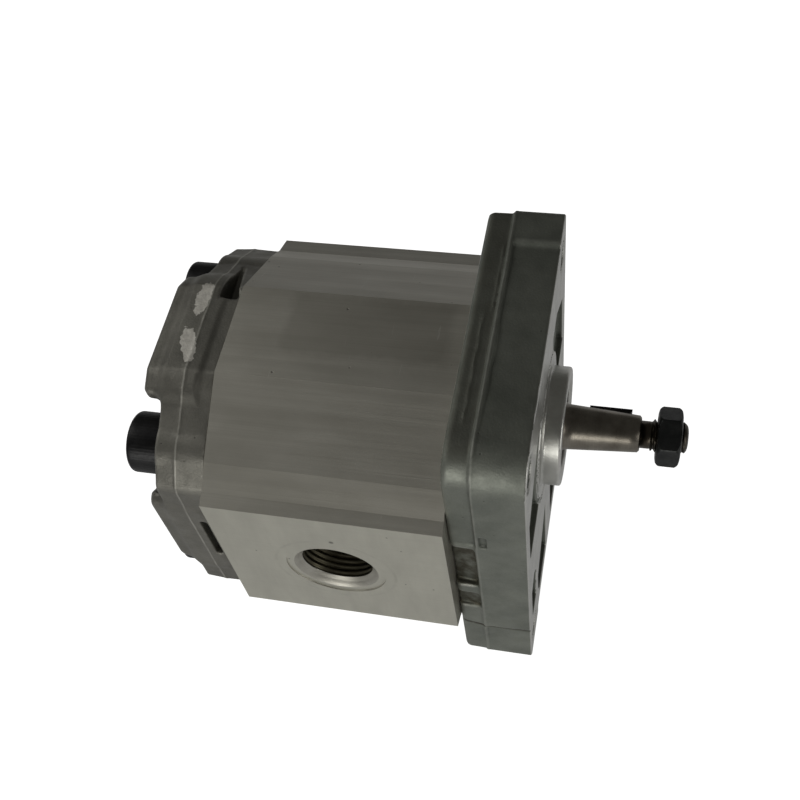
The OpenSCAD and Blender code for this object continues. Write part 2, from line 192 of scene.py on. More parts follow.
def surface_net(field, lo, step):
    """Points and four-sided faces on the zero level of a sampled distance field."""
    shape = [n - 1 for n in field.shape]

    def corner(values, i, j, k):
        return values[i : i + shape[0], j : j + shape[1], k : k + shape[2]]

    inside = field < 0
    count = np.zeros(shape, np.int8)
    for i, j, k in np.ndindex(2, 2, 2):
        count += corner(inside, i, j, k)
    mixed = (count > 0) & (count < 8)
    cells = np.argwhere(mixed)
    number = np.full(shape, -1, np.int64)
    number[mixed] = np.arange(len(cells))
    total, hits = np.zeros((len(cells), 3)), np.zeros(len(cells))
    for axis in range(3):
        others = [a for a in range(3) if a != axis]
        for u, v in np.ndindex(2, 2):
            start = [0, 0, 0]
            start[others[0]], start[others[1]] = u, v
            end = list(start)
            end[axis] = 1
            a, b = corner(field, *start)[mixed], corner(field, *end)[mixed]
            crosses = (a < 0) != (b < 0)
            t = np.zeros(len(a))
            t[crosses] = a[crosses] / (a[crosses] - b[crosses])
            place = np.array(start, float) + np.outer(t, np.eye(3)[axis])
            total[crosses] += place[crosses]
            hits[crosses] += 1
    points = np.array(lo) + step * (cells + total / hits[:, None])
    faces = []
    for axis in range(3):
        u, v = [(1, 2), (2, 0), (0, 1)][axis]
        near = [slice(1, -1)] * 3
        far = [slice(1, -1)] * 3
        near[axis], far[axis] = slice(0, -1), slice(1, None)
        a, b = inside[tuple(near)], inside[tuple(far)]
        for sign, where in ((1, a & ~b), (-1, ~a & b)):
            at = np.argwhere(where)
            at[:, u] += 1
            at[:, v] += 1
            ring = []
            for du, dv in ((-1, -1), (0, -1), (0, 0), (-1, 0))[::sign]:
                cell = at.copy()
                cell[:, u] += du
                cell[:, v] += dv
                ring.append(number[cell[:, 0], cell[:, 1], cell[:, 2]])
            faces.append(np.stack(ring, 1))
    return points, np.concatenate(faces)


def link(ob):
    bpy.context.scene.collection.objects.link(ob)
    return ob


def mesh_object(name, points, faces):
    """A smooth-shaded object from points in millimetres."""
    mesh = bpy.data.meshes.new(name)
    mesh.from_pydata((np.asarray(points, float) * MM).tolist(), [], [list(map(int, f)) for f in faces])
    mesh.validate()
    mesh.polygons.foreach_set("use_smooth", [True] * len(mesh.polygons))
    mesh.update()
    return link(bpy.data.objects.new(name, mesh))


def carved(name, lo, hi, step, field):
    """An object whose surface is where field(x, y, z) is zero, with its edges and corners marked for pale wear and
    darkening.
    """
    axes = [np.arange(a, b + s, s) for a, b, s in zip(lo, hi, step)]
    x, y, z = axes[0][:, None, None], axes[1][None, :, None], axes[2][None, None, :]
    values = np.broadcast_to(field(x, y, z), [len(a) for a in axes]).astype(float)
    points, faces = surface_net(values, lo, np.array(step))
    ob = mesh_object(name, points, faces)
    mark_edges(ob.data, points, faces)
    return ob


def mark_edges(mesh, points, faces):
    """Stores how much each point stands out of its surroundings, from -1 in a corner to 1 on an edge."""
    spacing, gain = 0.4, 5
    pairs = np.concatenate([faces[:, [i, (i + 1) % 4]] for i in range(4)])
    pairs = np.concatenate([pairs, pairs[:, ::-1]])
    buffer = np.zeros(len(points) * 3, np.float32)
    mesh.vertices.foreach_get("normal", buffer)
    n = np.bincount(pairs[:, 0], minlength=len(points))

    def around(values):
        return np.bincount(pairs[:, 0], weights=values[pairs[:, 1]], minlength=len(points))

    near = np.stack([around(points[:, k]) for k in range(3)], 1) / n[:, None]
    out = ((points - near) * buffer.reshape(-1, 3)).sum(1) / spacing
    for _ in range(2):
        out = (out + around(out)) / (1 + n)
    layer = mesh.attributes.new("edge", "FLOAT", "POINT")
    layer.data.foreach_set("value", np.clip(out * gain, -1, 1).astype(np.float32))


def rings_object(name, rings, closed, sharp=35, at=(0, 0, 0), turn=None):
    """A mesh through rings of points, with edges above the sharp angle left crisp.

    closed joins the last ring to the first; otherwise both ends are capped.
    """
    n = len(rings[0])
    points = np.concatenate(rings) + np.array(at, float)
    if turn is not None:
        points = points @ np.array(turn).T
    faces = []
    last = len(rings) if closed else len(rings) - 1
    for i in range(last):
        a, b = i * n, (i + 1) % len(rings) * n
        faces += [(a + k, a + (k + 1) % n, b + (k + 1) % n, b + k) for k in range(n)]
    if not closed:
        faces.append(tuple(range(n))[::-1])
        faces.append(tuple(range((len(rings) - 1) * n, len(rings) * n)))
    ob = mesh_object(name, points, faces)
    bm = bmesh.new()
    bm.from_mesh(ob.data)
    bmesh.ops.recalc_face_normals(bm, faces=bm.faces)
    bm.to_mesh(ob.data)
    bm.free()
    ob.data.set_sharp_from_angle(angle=math.radians(sharp))
    return ob


def ring(x, radius, angle):
    """Points round the X axis at x; radius is a number or one for each angle."""
    r = np.broadcast_to(radius, angle.shape)
    return np.stack([np.full(angle.shape, float(x)), r * np.cos(angle), r * np.sin(angle)], 1)


def round_angles(n):
    return np.arange(n) * 2 * math.pi / n


def hexagon(af, angle, turn=0.0):
    """Radius of a hexagon with that size across its flats."""
    sixth = math.pi / 3
    return af / 2 / np.cos((angle - turn + sixth / 2) % sixth - sixth / 2)


def thread(phase):
    """Height of a thread's ridge, 0 to 1, at a phase along its pitch."""
    steepness, root_width = 2.6, 0.16
    return np.clip(steepness * np.abs((phase % 1.0) - 0.5) - root_width, 0, 1)


def joined(name, parts):
    """One object from several."""
    bm = bmesh.new()
    for p in parts:
        bm.from_mesh(p.data)
        bpy.data.objects.remove(p)
    mesh = bpy.data.meshes.new(name)
    bm.to_mesh(mesh)
    bm.free()
    return link(bpy.data.objects.new(name, mesh))


# ---------------------------------------------------------------- materials


def shade(colour, k):
    return [c * k for c in colour]


class Paint:
    """A Principled material whose patterns are in the object's own millimetres."""

    def __init__(self, name, **sockets):
        self.material = bpy.data.materials.new(name)
        self.material.use_nodes = True
        self.nodes, self.links = self.material.node_tree.nodes, self.material.node_tree.links
        self.shader = self.nodes["Principled BSDF"]
        for key, value in sockets.items():
            self.shader.inputs[key.replace("_", " ")].default_value = value
        self.place = self.nodes.new("ShaderNodeTexCoord").outputs["Object"]

    def node(self, kind, inputs=(), **settings):
        made = self.nodes.new(kind)
        for key, value in settings.items():
            setattr(made, key, value)
        for key, value in dict(inputs).items():
            self.plug(made.inputs[key], value)
        return made

    def plug(self, socket, value):
        if isinstance(value, bpy.types.NodeSocket):
            self.links.new(value, socket)
        else:
            socket.default_value = value

    def scaled(self, scale):
        inputs = {0: self.place, 1: [s / MM for s in scale]}
        return self.node("ShaderNodeVectorMath", inputs, operation="MULTIPLY").outputs[0]

    def noise(self, size, detail=3.0, rough=0.55, distortion=0.0, offset=(0, 0, 0)):
        """Noise from 0 to 1; size is a feature's size in millimetres, one number or one along each axis."""
        size = (size,) * 3 if isinstance(size, (int, float)) else size
        place = self.scaled([1 / s for s in size])
        if any(offset):
            place = self.node("ShaderNodeVectorMath", {0: place, 1: offset}, operation="ADD").outputs[0]
        return self.node(
            "ShaderNodeTexNoise",
            {"Vector": place, "Scale": 1.0, "Detail": detail, "Roughness": rough, "Distortion": distortion},
        ).outputs["Fac"]

    def spots(self, size, reach):
        """1 in scattered small spots and 0 elsewhere."""
        cells = self.node("ShaderNodeTexVoronoi", {"Vector": self.scaled([1 / size] * 3), "Scale": 1.0})
        return self.span(cells.outputs["Distance"], reach, reach * 0.4)

    def span(self, value, low, high, to_low=0.0, to_high=1.0):
        """value's span low to high, taken to to_low to to_high and kept inside it."""
        return self.node(
            "ShaderNodeMapRange",
            {"Value": value, "From Min": low, "From Max": high, "To Min": to_low, "To Max": to_high},
        ).outputs["Result"]

    def math(self, operation, a, b=0.0, c=0.0):
        return self.node("ShaderNodeMath", {0: a, 1: b, 2: c}, operation=operation).outputs[0]

    def product(self, first, *others):
        for value in others:
            first = self.math("MULTIPLY", first, value)
        return first

    def off(self, value, at):
        """How far value is from at, on either side."""
        return self.math("ABSOLUTE", self.math("SUBTRACT", value, at))

    def distance(self, a, b):
        return self.math("SQRT", self.math("ADD", self.product(a, a), self.product(b, b)))

    def axis(self, name):
        return self.node("ShaderNodeSeparateXYZ", {0: self.scaled((1, 1, 1))}).outputs[name]

    def blend(self, fac, a, b):
        """a where fac is 0 and b where it is 1; each is a socket or a colour."""
        made = self.node("ShaderNodeMix", data_type="RGBA", blend_type="MIX")
        self.plug(made.inputs[0], fac)
        for key, value in ((6, a), (7, b)):
            self.plug(made.inputs[key], value if isinstance(value, bpy.types.NodeSocket) else (*value, 1.0))
        return made.outputs[2]

    def edge(self):
        return self.node("ShaderNodeAttribute", attribute_name="edge").outputs["Fac"]

    def facing(self, name):
        """How far the surface faces along an axis, from -1 to 1."""
        normal = self.node("ShaderNodeNewGeometry").outputs["Normal"]
        return self.node("ShaderNodeSeparateXYZ", {0: normal}).outputs[name]

    def colour(self, socket):
        """Sets the base colour, and keeps it as tone for what is painted over it."""
        self.tone = socket
        self.links.new(socket, self.shader.inputs["Base Color"])

    def rough(self, socket):
        self.links.new(socket, self.shader.inputs["Roughness"])

    def bump(self, *layers):
        """layers are (height from 0 to 1, depth in millimetres)."""
        normal = None
        for height, depth in layers:
            inputs = {"Height": height, "Strength": 1.0, "Distance": depth * MM}
            if normal is not None:
                inputs["Normal"] = normal
            normal = self.node("ShaderNodeBump", inputs).outputs["Normal"]
        self.links.new(normal, self.shader.inputs["Normal"])


def cast_metal(name, dark, light, wear, roughness=0.5, metallic=0.8):
    """Die-cast aluminium: fine grain, cloudy tone, pale edges and darker concave corners."""
    p = Paint(name, Metallic=metallic)
    cloud, grain = p.noise(9, 4), p.noise(0.42, 3)
    tone = p.blend(p.span(cloud, 0.35, 0.68), dark, light)
    tone = p.blend(p.span(grain, 0.3, 0.75, 0.0, 0.22), tone, shade(dark, 0.55))
    rubbed = p.span(p.noise(1.6, 4), 0.35, 0.6, 0.15, 0.9)
    tone = p.blend(p.product(p.span(p.edge(), 0.12, 0.6), rubbed), tone, wear)
    # concave corners are darkened in colour, in patches
    corner_patchiness = p.span(p.noise(2.4, 4, offset=(3, 1, 7)), 0.3, 0.6, 0.35, 0.85)
    tone = p.blend(p.product(p.span(p.edge(), -0.1, -0.6), corner_patchiness), tone, shade(dark, 0.3))
    pits = p.spots(3.4, 0.075)
    p.colour(p.blend(p.product(pits, 0.6), tone, shade(dark, 0.35)))
    patchy = p.noise(3.1, 4, offset=(9, 2, 4))
    p.rough(p.span(patchy, 0.3, 0.7, roughness - 0.07, roughness + 0.09))
    p.bump((grain, 0.05), (p.noise(2.2, 3), 0.05), (p.math("SUBTRACT", 1.0, pits), 0.05))
    return p


def steel(name, dark, light, roughness, lines=(0.05, 30, 30), metallic=1.0, depth=0.004):
    """Machined or ground steel with fine lines."""
    p = Paint(name, Metallic=metallic)
    mark = p.noise(lines, 2)
    tone = p.blend(p.span(p.noise(4, 4), 0.35, 0.65), dark, light)
    p.colour(p.blend(p.span(mark, 0.35, 0.7, 0.0, 0.35), tone, shade(dark, 0.6)))
    p.rough(p.span(mark, 0.3, 0.7, roughness - 0.05, roughness + 0.08))
    p.bump((mark, depth))
    return p


def milled_metal(name, dark, light, pitch, roughness=0.32):
    """Aluminium faced with a cutter that turned round the drive shaft's axis."""
    p = Paint(name, Metallic=0.95)
    far = p.distance(p.axis("Y"), p.axis("Z"))
    uneven = p.math("ADD", far, p.span(p.noise(5, 2), 0, 1, 0, 0.3))
    marks = p.math("FRACT", p.math("DIVIDE", uneven, pitch))
    tone = p.blend(p.span(p.noise(6, 4), 0.3, 0.7), dark, light)
    tone = p.blend(p.span(marks, 0.5, 1.0, 0.0, 0.25), tone, shade(dark, 0.6))
    p.colour(p.blend(p.product(p.span(p.edge(), 0.1, 0.5), 0.7), tone, (0.9, 0.89, 0.85)))
    p.rough(p.span(p.noise(2.5, 4), 0.3, 0.7, roughness - 0.05, roughness + 0.1))
    p.bump((marks, 0.008), (p.noise(0.3, 3), 0.006))
    return p


def rubber(name, dark, light, roughness):
    """Rubber or soft plastic with a fine matte grain."""
    p = Paint(name)
    grain = p.noise(0.3, 3)
    p.colour(p.blend(p.span(p.noise(2.5, 4), 0.35, 0.65), dark, light))
    p.rough(p.span(grain, 0.3, 0.7, roughness - 0.06, roughness + 0.1))
    p.bump((grain, 0.02))
    return p


def etched_stain(p, x, y):
    """A faint stain where the body was etched, on its upper side."""
    half_x, half_y, shift_x, shift_y, ragged = 17.0, 7.5, 4, 3.0, 1.4
    away_x = p.math("SUBTRACT", p.off(x, BODY_MID[0] + shift_x), half_x)
    away_y = p.math("SUBTRACT", p.off(y, shift_y), half_y)
    away = p.math("MAXIMUM", away_x, away_y)
    border = p.span(p.noise(2.4, 3), 0, 1, -ragged, ragged)
    return p.product(p.span(p.math("ADD", away, border), 1.2, -1.2), p.span(p.facing("Z"), 0.9, 0.99))


def extruded_metal():
    """The body's drawn and brushed aluminium, with stains, scratches and pits."""
    dent_x, dent_z, rubbed_r = -39.6, 1.9, 13.0
    p = Paint("extruded_body", Metallic=0.9)
    x, y, z = p.axis("X"), p.axis("Y"), p.axis("Z")
    lines = p.noise((60, 0.2, 0.2), 3, 0.6)
    broad = p.noise((120, 2.2, 2.2), 2)
    cloud = p.noise((14, 6, 6), 4)
    tone = p.blend(p.span(broad, 0.32, 0.68), (0.52, 0.505, 0.45), (0.60, 0.585, 0.525))
    tone = p.blend(p.span(cloud, 0.35, 0.7, 0.0, 0.35), tone, (0.38, 0.365, 0.315))
    tone = p.blend(p.span(lines, 0.4, 0.75, 0.0, 0.16), tone, (0.30, 0.29, 0.25))
    side = p.span(p.math("ABSOLUTE", p.facing("Y")), 0.9, 0.97)
    milled = p.blend(p.span(p.noise((3, 3, 11), 4), 0.3, 0.7), (0.63, 0.62, 0.54), (0.71, 0.70, 0.61))
    tone = p.blend(p.product(side, 0.85), tone, milled)
    tone = p.blend(p.product(etched_stain(p, x, y), 0.3), tone, (0.27, 0.255, 0.215))
    # a ring round each port, rubbed by a fitting's seal, and a dent above the inlet
    port_r = p.distance(p.math("SUBTRACT", x, BODY_MID[0]), p.math("SUBTRACT", z, BODY_MID[2]))
    rubbed = p.product(p.span(p.off(port_r, rubbed_r), 0.5, 0.1), side)
    rubbed = p.product(rubbed, p.span(p.noise(6, 2), 0.4, 0.6, 0.0, 0.14))
    tone = p.blend(rubbed, tone, (0.2, 0.19, 0.16))
    from_dent = p.distance(p.math("SUBTRACT", x, dent_x), p.math("SUBTRACT", z, dent_z))
    dent = p.product(p.span(from_dent, 0.6, 0.35), p.span(p.facing("Y"), -0.9, -0.97))
    pits = p.math("MAXIMUM", p.spots(5.5, 0.05), dent)
    tone = p.blend(p.product(pits, 0.7), tone, (0.12, 0.115, 0.10))
    scratch = p.span(p.noise((0.9, 14, 14), 2, distortion=1.2), 0.735, 0.76)
    p.colour(p.blend(p.product(scratch, 0.35), tone, (0.75, 0.74, 0.70)))
    p.rough(p.span(lines, 0.3, 0.7, 0.4, 0.5))
    p.bump((lines, 0.006), (p.noise(0.6, 3), 0.008), (p.math("SUBTRACT", 1.0, pits), 0.06))
    return p


def pale_line(p, axis, at, half, tone, amount):
    """A thin pale line across one axis, where a die's halves met."""
    wander = p.span(p.noise(5, 2), 0, 1, -0.15, 0.15)
    off = p.off(p.math("ADD", p.axis(axis), wander), at)
    broken = p.span(p.noise(3, 3), 0.35, 0.55, amount * 0.5, amount)
    p.colour(p.blend(p.product(p.span(off, half, half * 0.4), broken), p.tone, tone))


def ground_patches(p, top_z, patches):
    """Pale patches where the casting's gates were ground off, near the top wall."""
    x, y, z = p.axis("X"), p.axis("Y"), p.axis("Z")
    ragged = p.span(p.noise(1.3, 3), 0.3, 0.7, -0.42, 0.42)
    mask = 0.0
    for cx, cy, rx, ry, lean in patches:
        across = p.math("SUBTRACT", y, cy)
        along = p.math("ADD", p.math("SUBTRACT", x, cx), p.product(across, lean))
        along, across = p.math("DIVIDE", along, rx), p.math("DIVIDE", across, ry)
        far = p.math("ADD", p.product(along, along), p.product(across, across))
        mask = p.math("MAXIMUM", mask, p.span(p.math("ADD", far, ragged), 1.08, 0.94))
    mask = p.product(mask, p.span(z, top_z - 2.2, top_z - 1.6))
    bright = p.blend(p.span(p.noise(1.1, 4), 0.3, 0.7), (0.62, 0.60, 0.55), (0.82, 0.80, 0.74))
    p.colour(p.blend(mask, p.tone, bright))


def recess_shade_and_grime(p, x_end, wall_y, bands):
    """Painted shade with oily dirt, darkening the floors of the recesses in the side walls."""
    x, y, z = p.axis("X"), p.math("ABSOLUTE", p.axis("Y")), p.axis("Z")
    behind = p.span(x, x_end + 0.3, x_end - 0.3)
    inner = p.product(behind, p.span(y, wall_y, wall_y - 0.5), p.span(y, wall_y - 6, wall_y - 5))
    band = 0.0
    for z0, z1 in bands:
        one = p.product(p.span(z, z0, z0 + 0.6), p.span(z, z1, z1 - 0.6))
        band = p.math("MAXIMUM", band, one)
    patchy = p.span(p.noise(2.2, 5), 0.35, 0.62, 0.3, 0.95)
    # painted shade and dirt: the recess floors are darkened in colour
    p.colour(p.blend(p.product(inner, band, patchy), p.tone, (0.075, 0.068, 0.045)))


def dark_crease_and_top_shade(p):
    """A dark line along the crease near the flange's lower corners, and painted shade that darkens the upward
    faces.
    """
    x, y, z = p.axis("X"), p.math("ABSOLUTE", p.axis("Y")), p.axis("Z")
    slant = p.product(p.math("MAXIMUM", p.math("SUBTRACT", SPLIT_X, x), 0.0), CREASE_LEAN)
    off = p.off(p.math("SUBTRACT", z, CREASE_Z), slant)
    line = p.product(p.span(off, 0.75, 0.2), p.span(y, FLANGE_HI[1] - 1.2, FLANGE_HI[1] - 0.8))
    line = p.product(line, p.span(p.noise(1.8, 5), 0.3, 0.6, 0.25, 0.9))
    tone = p.blend(line, p.tone, (0.06, 0.055, 0.04))
    strip = p.product(p.span(x, SPLIT_X + 0.1, SPLIT_X - 0.6), p.span(p.facing("Z"), 0.75, 0.95))
    strip = p.product(strip, p.span(p.noise(5, 4), 0.3, 0.7, 0.35, 0.7))
    tone = p.blend(strip, tone, (0.11, 0.105, 0.08))
    # painted shade: the faces turned upward are darkened in colour
    painted_top_shade = p.product(p.span(p.facing("Z"), 0.8, 0.98), p.span(p.noise(12, 4), 0.3, 0.7, 0.25, 0.5))
    p.colour(p.blend(painted_top_shade, tone, (0.12, 0.125, 0.11)))


def darker_neck(p, x0, x1):
    """Darkens the shaft from x0, fully from x1 on, where the coupling never rubs it."""
    p.colour(p.blend(p.span(p.axis("X"), x0, x1, 0.0, 0.85), p.tone, (0.06, 0.048, 0.035)))


FLANGE_TONES = (0.225, 0.24, 0.21), (0.315, 0.33, 0.29), (0.46, 0.465, 0.42)
COVER_TONES = (0.20, 0.195, 0.172), (0.285, 0.278, 0.247), (0.42, 0.41, 0.37)
BLOCK_TONES = (0.48, 0.48, 0.46), (0.60, 0.60, 0.58), (0.75, 0.75, 0.72)

flange_paint = cast_metal("cast_flange", *FLANGE_TONES, 0.54)
cover_paint = cast_metal("cast_cover", *COVER_TONES, 0.5)
pale_line(cover_paint, "X", RIDGE_X, 0.26, (0.55, 0.54, 0.49), 0.7)
pale_line(flange_paint, "X", SPLIT_X, 0.4, (0.42, 0.43, 0.39), 0.45)
ground_patches(cover_paint, COVER_HI[2], [(-73.4, 7.5, 1.6, 4.4, -0.04), (-73.1, -4.8, 1.7, 4.4, 0.31)])
# painted shade and dirt in the side recesses
recess_shade_and_grime(flange_paint, SPLIT_X - 0.5, FLANGE_HI[1] - 0.5, [(-18.0, 0.4), (-29.2, -21.4)])
# a dark line in the crease, and painted shade on the flange's upward faces
dark_crease_and_top_shade(flange_paint)

body_paint = extruded_metal()
faced_paint = milled_metal("faced_flange", (0.55, 0.55, 0.52), (0.68, 0.68, 0.64), 0.55)
block_paint = cast_metal("bearing_block", *BLOCK_TONES, 0.4, 0.9)
# painted shade: the port thread is coloured near black for the shade deep in the bore, though it is cut in the
# body's aluminium
port_shade_paint = steel("port_thread", (0.07, 0.062, 0.042), (0.14, 0.13, 0.09), 0.36, (6, 0.1, 6), 0.95)
shaft_paint = steel("ground_shaft", (0.20, 0.18, 0.15), (0.33, 0.305, 0.26), 0.31, (0.07, 40, 40), depth=0.0015)
darker_neck(shaft_paint, 19.1, 19.8)
tail_paint = steel("shaft_thread", (0.075, 0.065, 0.05), (0.17, 0.16, 0.14), 0.36, (0.1, 6, 6))
gear_paint = steel("gear_steel", (0.36, 0.35, 0.33), (0.50, 0.49, 0.47), 0.27, (12, 0.1, 0.1))
black_paint = steel("black_oxide", (0.012, 0.012, 0.013), (0.03, 0.03, 0.031), 0.38, (0.5,) * 3, 0.6, 0.02)
nut_paint = steel("nut_black", (0.016, 0.018, 0.018), (0.045, 0.047, 0.046), 0.34, (0.6,) * 3, 0.7, 0.015)
key_paint = steel("key_steel", (0.02, 0.02, 0.02), (0.055, 0.052, 0.048), 0.42, (3, 0.1, 3), 0.8)
ring_paint = steel("spring_steel", (0.13, 0.13, 0.14), (0.22, 0.22, 0.23), 0.33, (2, 0.2, 0.2))
pin_paint = steel("hardened_pin", (0.42, 0.42, 0.41), (0.55, 0.55, 0.54), 0.22, (0.06, 20, 20))
bush_paint = steel("bronze_bush", (0.38, 0.24, 0.10), (0.52, 0.35, 0.17), 0.36, (0.1, 12, 12), 0.9)
black_rubber = rubber("black_rubber", (0.012, 0.012, 0.012), (0.022, 0.022, 0.021), 0.6)
seal_rubber = rubber("seal_rubber", (0.10, 0.022, 0.012), (0.16, 0.045, 0.025), 0.45)
strip_plastic = rubber("backup_plastic", (0.62, 0.59, 0.50), (0.74, 0.71, 0.62), 0.42)


def assign(ob, paints, choose=None):
    """Gives an object its materials; choose(centres, normals) says which one each face takes."""
    ob.data.materials.clear()
    for p in paints:
        ob.data.materials.append(p.material)
    if choose is None:
        return
    n = len(ob.data.polygons)
    centre, normal = np.zeros(n * 3, np.float32), np.zeros(n * 3, np.float32)
    ob.data.polygons.foreach_get("center", centre)
    ob.data.polygons.foreach_get("normal", normal)
    picked = choose(centre.reshape(-1, 3) / MM, normal.reshape(-1, 3)).astype(np.int32)
    ob.data.polygons.foreach_set("material_index", picked)


# ---------------------------------------------------------------- flange

FLANGE_GRID = (0.27, 0.42, 0.42)
ROUND_CORNER_R, TIGHT_CORNER_R = 8.0, 1.5
FLANGE_REAR_R = 1.5
STEP_Z, STEP_DEPTH = -37.2, 0.45
RIBS = ((-12.9, -22, 6), (-11.3, 4, 24), (-9.9, 11, 22), (-9.6, -8, 4))  # x, and where each starts and ends in y
GROOVE_R, GROOVE_HALF, GROOVE_DEPTH = 16.3, 0.6, 0.5
POCKET_DEPTH, POCKET_CLEAR_R = 1.5, 17.4
UPPER_POCKET = [(10, -7), (28.5, -7), (28.5, 8), (16, 17.5), (10, 17.5)]
LOWER_POCKETS = (
    [(4, -49.5), (16.5, -49.5), (18.5, -43), (18.5, -36), (4, -25)],
    [(22, -38), (28, -38), (28, -25), (24.5, -22.5), (21, -27)],
)
LEDGE_DEPTH, LEDGE_Z = 0.85, 2.6
SIDE_RECESSES = ((-17.2, 0.4, 1.7), (-28.3, -21.4, 1.1))  # lowest z, highest z, depth
SEAL_BORE_R, RING_GROOVE_R, MOUTH_CHAMFER = 10.0, 10.5, 0.5


def flange_blank(x, y, z):
    """The flange's outline, smaller behind the parting line, with flash along it."""
    z0, z1, w = FLANGE_LO[2], FLANGE_HI[2], FLANGE_HI[1]
    corner_r = np.where(y * (z - (z0 + z1) / 2) < 0, ROUND_CORNER_R, TIGHT_CORNER_R)
    rim = block(y, z, -w, w, z0, z1, corner_r)
    behind = smooth(-x, -SPLIT_X, -SPLIT_X + 0.7) * 0.45 + np.clip(SPLIT_X - x, 0, 9) * 0.02
    return rim + behind - flash(3, x, y, z, SPLIT_X, 0.4)


def low_step(d, x, ay, z):
    """A step low on both side faces, and the slanting crease behind it."""
    w = FLANGE_HI[1]
    low = np.maximum(z - (STEP_Z + 0.07 * x), slab(x, SPLIT_X, 2))
    d = cut(d, np.maximum(low, w - STEP_DEPTH - ay), 0.3)
    crease = z - CREASE_Z - CREASE_LEAN * np.clip(SPLIT_X - x, 0, 9)
    return d + 0.2 * hump(crease, 0.45) * (ay > w - 2)


def edge_panels(d, x, y, z):
    """Recessed panels in the upper and lower edges; the upper one fades out towards -Y."""
    z0, z1 = FLANGE_LO[2], FLANGE_HI[2]
    front = slab(x, SPLIT_X + 0.6, 3)
    floor_z = z1 - 0.85 * smooth(y, -25, -8)
    upper = np.maximum(np.maximum(both(y - 23.2, floor_z - z, 1.2), -26 - y), front)
    d = cut(d, upper, 0.4)
    lower = np.maximum(block(y, z, -19, 19, z0 - 9, z0 + 2.2, 0.8), front)
    return cut(d, lower, 0.7)


def die_ribs(d, x, y, z):
    """Fine ribs left by the die along the upper edge."""
    top, run_out = FLANGE_HI[2], 3
    wander = 0.1 * waves(5, y)
    for at, y0, y1 in RIBS:
        rib = 0.14 * hump(x - at - wander, 0.3) * smooth(y, y0, y0 + run_out) * smooth(-y, -y1, run_out - y1)
        d = d - rib * smooth(z, top - 2.5, top - 1.5)
    return d


def pilot(d, x, y, z):
    """The machined pilot and the groove round its boss."""
    spigot = np.maximum(both(disc(y, z, (0, 0), SPIGOT_R), x - FLANGE_HI[0], 0.45), -2 - x)
    d = either(d, spigot, 0.35)
    groove = np.maximum(np.abs(disc(y, z, (0, 0), GROOVE_R)) - GROOVE_HALF, -GROOVE_DEPTH - x)
    return cut(d, groove, 0.15)


def front_pockets(d, x, ay, z):
    """Cored pockets in the mounting face, the same on both sides."""
    shapes = polygon(ay, z, UPPER_POCKET)
    shapes = np.maximum(shapes + 0.8, -disc(ay, z, (0, 0), POCKET_CLEAR_R)) - 0.8
    for points in LOWER_POCKETS:
        shapes = np.minimum(shapes, polygon(ay, z, points))
    return cut(d, both(shapes, -POCKET_DEPTH - x, 0.5), 0.25)


def side_recesses(d, x, ay, z):
    """Behind the parting line, cast recesses and the ledge above them; in front of it, a small notch."""
    w = FLANGE_HI[1]
    ledge = np.maximum(np.maximum(x - (SPLIT_X - 0.1), w - LEDGE_DEPTH - ay), LEDGE_Z - z + 0.12 * (x + 10))
    d = cut(d, ledge, 0.3)
    for z0, z1, deep in SIDE_RECESSES:
        opening = block(x, z, -17.5, SPLIT_X - 0.5, z0, z1, 0.9)
        recess = both(opening, w - deep - 0.12 * (SPLIT_X - x) - ay, 0.5)
        d = cut(d, recess, 0.45)
    notch = np.maximum(block(x, z, -9.6, -8.2, 2.7, 7.2, 0.4), w - 0.7 - ay)
    return cut(d, notch, 0.3)


def flange_bores(d, x, y, z):
    """Chamfered bolt holes, blind screw and dowel holes, and the seal's chamfered bore with its ring groove."""
    for at in HOLES:
        d = cut(d, disc(y, z, at, HOLE_R) - np.clip(x + 0.6, 0, 2))
    for at in SCREWS:
        d = cut(d, np.maximum(disc(y, z, at, 4.0), x + 2.8))
    for at in DOWELS:
        d = cut(d, np.maximum(disc(y, z, at, DOWEL_R), x + 11.2))
    axle = disc(y, z, (0, 0), 0)
    d = cut(d, axle - SEAL_BORE_R - np.clip(x - (FLANGE_HI[0] - MOUTH_CHAMFER), 0, 1))
    return cut(d, np.maximum(axle - RING_GROOVE_R, slab(x, RING_LO[0] - 0.05, RING_HI[0] + 0.05)))


def flange_field(x, y, z):
    ay = np.abs(y)
    d = low_step(flange_blank(x, y, z), x, ay, z)
    d = both(d, x, 0.3)
    d = both(d, FLANGE_LO[0] - x, FLANGE_REAR_R)
    d = die_ribs(edge_panels(d, x, y, z), x, y, z)
    d = front_pockets(pilot(d, x, y, z), x, ay, z)
    return flange_bores(side_recesses(d, x, ay, z), x, y, z)


def flange_faces(c, n):
    """1 on the faced mounting face, the pilot, the bore and the rear face; 0 on the casting."""
    far = np.hypot(c[:, 1], c[:, 2])
    face = (c[:, 0] > -0.35) & (n[:, 0] > 0.5)
    pilot_side = (c[:, 0] > -0.3) & (far < SPIGOT_R + 0.5)
    bore = far < SEAL_BORE_R + 1
    back = (c[:, 0] < FLANGE_LO[0] + 0.15) & (n[:, 0] < -0.9)
    return face | pilot_side | bore | back


FLANGE_SPAN = FLANGE_LO - [0.8, 1.2, 1.0], FLANGE_HI + [1.2, 1.6, 1.2]
flange = carved("flange_casting", *FLANGE_SPAN, FLANGE_GRID, flange_field)
assign(flange, [flange_paint, faced_paint], flange_faces)
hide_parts("front_flange")
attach(flange, "housing")

# ---------------------------------------------------------------- cover

COVER_GRID = (0.3, 0.4, 0.4)
SEAT_X = WASHER_HI[0]
SLAB_X = SEAT_X - 2.3
TOP_H = BODY_HI[2] - MID_Z
SEAT_R, BOSS_R = 7.55, 8.55
CLEARING_R, MIDDLE_CLEARING_R = 9.7, 10.3

